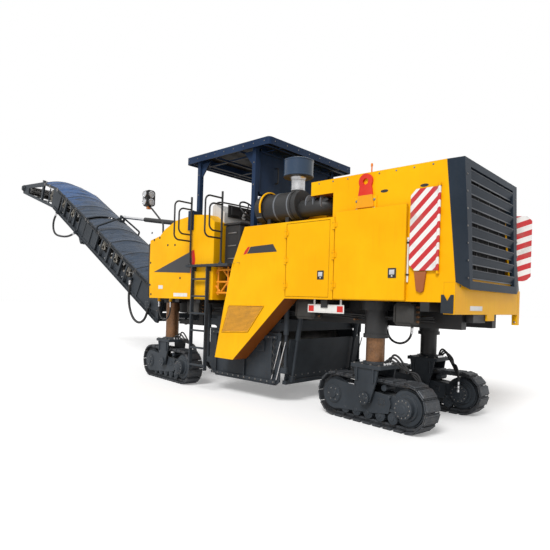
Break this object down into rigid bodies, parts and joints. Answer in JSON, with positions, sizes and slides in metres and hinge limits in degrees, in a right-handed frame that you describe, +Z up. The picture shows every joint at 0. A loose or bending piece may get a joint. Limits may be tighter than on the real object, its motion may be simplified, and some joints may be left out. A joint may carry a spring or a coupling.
{
  "type": "cold planer milling machine",
  "caption": "Road milling machine on four height-adjustable crawler tracks with an enclosed milling drum, a canopied operator platform and a folding, slewing front loading conveyor.",
  "frame": {"origin": "on the ground under the middle of the machine's outline, near the drum's rear", "axes": "+X to the machine's rear, +Y to its right side, +Z up; the conveyor points to -X"},
  "size_m": [14.0783, 3.158, 4.927],
  "materials": {
    "yellow": "gloss",
    "blue_grey": "satin",
    "slate": "satin",
    "black_metal": "satin",
    "bronze_brown": "satin",
    "light_grey": "satin",
    "red": "gloss",
    "board": "retroreflective red and white stripes",
    "worn_steel": "worn",
    "chrome": "polished",
    "cast_iron": "rough",
    "rubber": "matt",
    "canvas": "coated canvas",
    "track_steel": "worn"
  },
  "bodies": {
    "chassis": {"main_frame": "black_metal", "rear_beam": "yellow", "leg_sleeves": "black_metal", "drum_housing": "slate", "engine_block": "cast_iron", "engine_hood": "yellow", "rear_grille": "blue_grey", "cabinet_left": "yellow", "cabinet_right": "yellow", "front_body": "yellow", "platform": "slate", "control_console": "light_grey", "steering_wheel": "black_metal", "canopy_roof": "blue_grey", "canopy_posts": "blue_grey", "ladders": "slate", "grab_rails": "black_metal", "air_cleaner": "black_metal", "exhaust_muffler": "worn_steel", "lifting_eyes": "red", "work_lamp": "black_metal", "primary_conveyor": "slate", "front_leg_hose": "rubber", "rear_leg_hose": "rubber"},
    "slew": {"slew_bracket": "slate"},
    "conveyor_lower": {"conveyor_lower_frame": "slate", "conveyor_lower_cover": "canvas", "conveyor_lower_belt": "rubber", "conveyor_lower_rollers": "light_grey", "conveyor_foot_hose": "rubber"},
    "conveyor_upper": {"conveyor_upper_frame": "slate", "conveyor_upper_cover": "canvas", "conveyor_upper_belt": "rubber", "conveyor_upper_rollers": "light_grey", "conveyor_fold_hose": "rubber"},
    "lift_barrel": {"lift_cylinder_barrel": "black_metal"},
    "lift_rod": {"lift_cylinder_rod": "chrome"},
    "column_front_left": {"leg_column_front_left": "bronze_brown"},
    "track_front_left": {"track_front_left": "track_steel", "track_frame_front_left": "slate"},
    "column_front_right": {"leg_column_front_right": "bronze_brown"},
    "track_front_right": {"track_front_right": "track_steel", "track_frame_front_right": "slate"},
    "column_rear_left": {"leg_column_rear_left": "bronze_brown"},
    "track_rear_left": {"track_rear_left": "track_steel", "track_frame_rear_left": "slate"},
    "column_rear_right": {"leg_column_rear_right": "bronze_brown"},
    "track_rear_right": {"track_rear_right": "track_steel", "track_frame_rear_right": "slate"},
    "drum": {"milling_drum": "worn_steel"},
    "side_plate_left": {"side_plate_left": "slate"},
    "side_plate_right": {"side_plate_right": "slate"},
    "scraper": {"scraper": "slate"},
    "front_door_left": {"front_door_left": "yellow"},
    "front_door_right": {"front_door_right": "yellow"},
    "engine_door_left": {"engine_door_left": "yellow"},
    "engine_door_right": {"engine_door_right": "yellow"},
    "warning_board_left": {"warning_board_left": "board"},
    "warning_board_right": {"warning_board_right": "board"}
  },
  "joints": [
    {"name": "conveyor_slew", "type": "hinge", "parent": "chassis", "child": "slew", "pos_m": [0.65, 0, 1.5], "axis": [0, 0, 1], "range_deg": [-45, 45]},
    {"name": "conveyor_lift", "type": "hinge", "parent": "slew", "child": "conveyor_lower", "pos_m": [0.31, 0, 1.42], "axis": [0, 1, 0], "range_deg": [-22, 4]},
    {"name": "conveyor_fold", "type": "hinge", "parent": "conveyor_lower", "child": "conveyor_upper", "pos_m": [-3.10201, 0, 2.93337], "axis": [0, -1, 0], "range_deg": [0, 60]},
    {"name": "lift_barrel_pivot", "type": "hinge", "parent": "slew", "child": "lift_barrel", "pos_m": [0.35, 0, 3.2], "axis": [0, 1, 0], "range_deg": [-21.84, 4.01]},
    {"name": "lift_rod_slide", "type": "slide", "parent": "lift_barrel", "child": "lift_rod", "axis": [-0.989, 0, 0.1481], "range_m": [-0.1245, 0.6815]},
    {"name": "leg_lift_front_left", "type": "slide", "parent": "chassis", "child": "column_front_left", "axis": [0, 0, 1], "range_m": [-0.12, 0.3]},
    {"name": "track_steer_front_left", "type": "hinge", "parent": "column_front_left", "child": "track_front_left", "pos_m": [1.26, -0.79, 0.785], "axis": [0, 0, 1], "range_deg": [-18.4, 31.6]},
    {"name": "leg_lift_front_right", "type": "slide", "parent": "chassis", "child": "column_front_right", "axis": [0, 0, 1], "range_m": [-0.12, 0.3]},
    {"name": "track_steer_front_right", "type": "hinge", "parent": "column_front_right", "child": "track_front_right", "pos_m": [1.26, 0.79, 0.785], "axis": [0, 0, 1], "range_deg": [-18.4, 31.6]},
    {"name": "leg_lift_rear_left", "type": "slide", "parent": "chassis", "child": "column_rear_left", "axis": [0, 0, 1], "range_m": [-0.12, 0.3]},
    {"name": "track_steer_rear_left", "type": "hinge", "parent": "column_rear_left", "child": "track_rear_left", "pos_m": [5.76, -0.79, 0.785], "axis": [0, 0, 1], "range_deg": [-17, 33]},
    {"name": "leg_lift_rear_right", "type": "slide", "parent": "chassis", "child": "column_rear_right", "axis": [0, 0, 1], "range_m": [-0.12, 0.3]},
    {"name": "track_steer_rear_right", "type": "hinge", "parent": "column_rear_right", "child": "track_rear_right", "pos_m": [5.76, 0.79, 0.785], "axis": [0, 0, 1], "range_deg": [-22, 28]},
    {"name": "drum_spin", "type": "hinge", "parent": "chassis", "child": "drum", "pos_m": [3.39, 0.17, 0.765], "axis": [0, 1, 0], "continuous": true},
    {"name": "side_plate_lift_left", "type": "slide", "parent": "chassis", "child": "side_plate_left", "axis": [0, 0, 1], "range_m": [0, 0.25]},
    {"name": "side_plate_lift_right", "type": "slide", "parent": "chassis", "child": "side_plate_right", "axis": [0, 0, 1], "range_m": [0, 0.25]},
    {"name": "scraper_lift", "type": "slide", "parent": "chassis", "child": "scraper", "axis": [0.1392, 0, 0.9903], "range_m": [0, 0.25]},
    {"name": "front_door_hinge_left", "type": "hinge", "parent": "chassis", "child": "front_door_left", "pos_m": [4.49, -1.203, 2.16], "axis": [0, 0, -1], "range_deg": [0, 110]},
    {"name": "engine_door_hinge_left", "type": "hinge", "parent": "chassis", "child": "engine_door_left", "pos_m": [5.33, -1.203, 2.2], "axis": [0, 0, -1], "range_deg": [0, 110]},
    {"name": "front_door_hinge_right", "type": "hinge", "parent": "chassis", "child": "front_door_right", "pos_m": [4.49, 1.203, 2.16], "axis": [0, 0, 1], "range_deg": [0, 110]},
    {"name": "engine_door_hinge_right", "type": "hinge", "parent": "chassis", "child": "engine_door_right", "pos_m": [5.33, 1.203, 2.2], "axis": [0, 0, 1], "range_deg": [0, 110]},
    {"name": "board_hinge_left", "type": "hinge", "parent": "chassis", "child": "warning_board_left", "pos_m": [6.745, -1.162, 2.4525], "axis": [0, 0, 1], "range_deg": [0, 170]},
    {"name": "board_hinge_right", "type": "hinge", "parent": "chassis", "child": "warning_board_right", "pos_m": [6.745, 1.162, 2.4525], "axis": [0, 0, -1], "range_deg": [-150, 15]}
  ],
  "couplings": [
    {"joint": "lift_barrel_pivot", "follows": "conveyor_lift", "ratio": 0.99027},
    {"joint": "lift_rod_slide", "follows": "conveyor_lift", "m_per_rad": -1.7723}
  ]
}
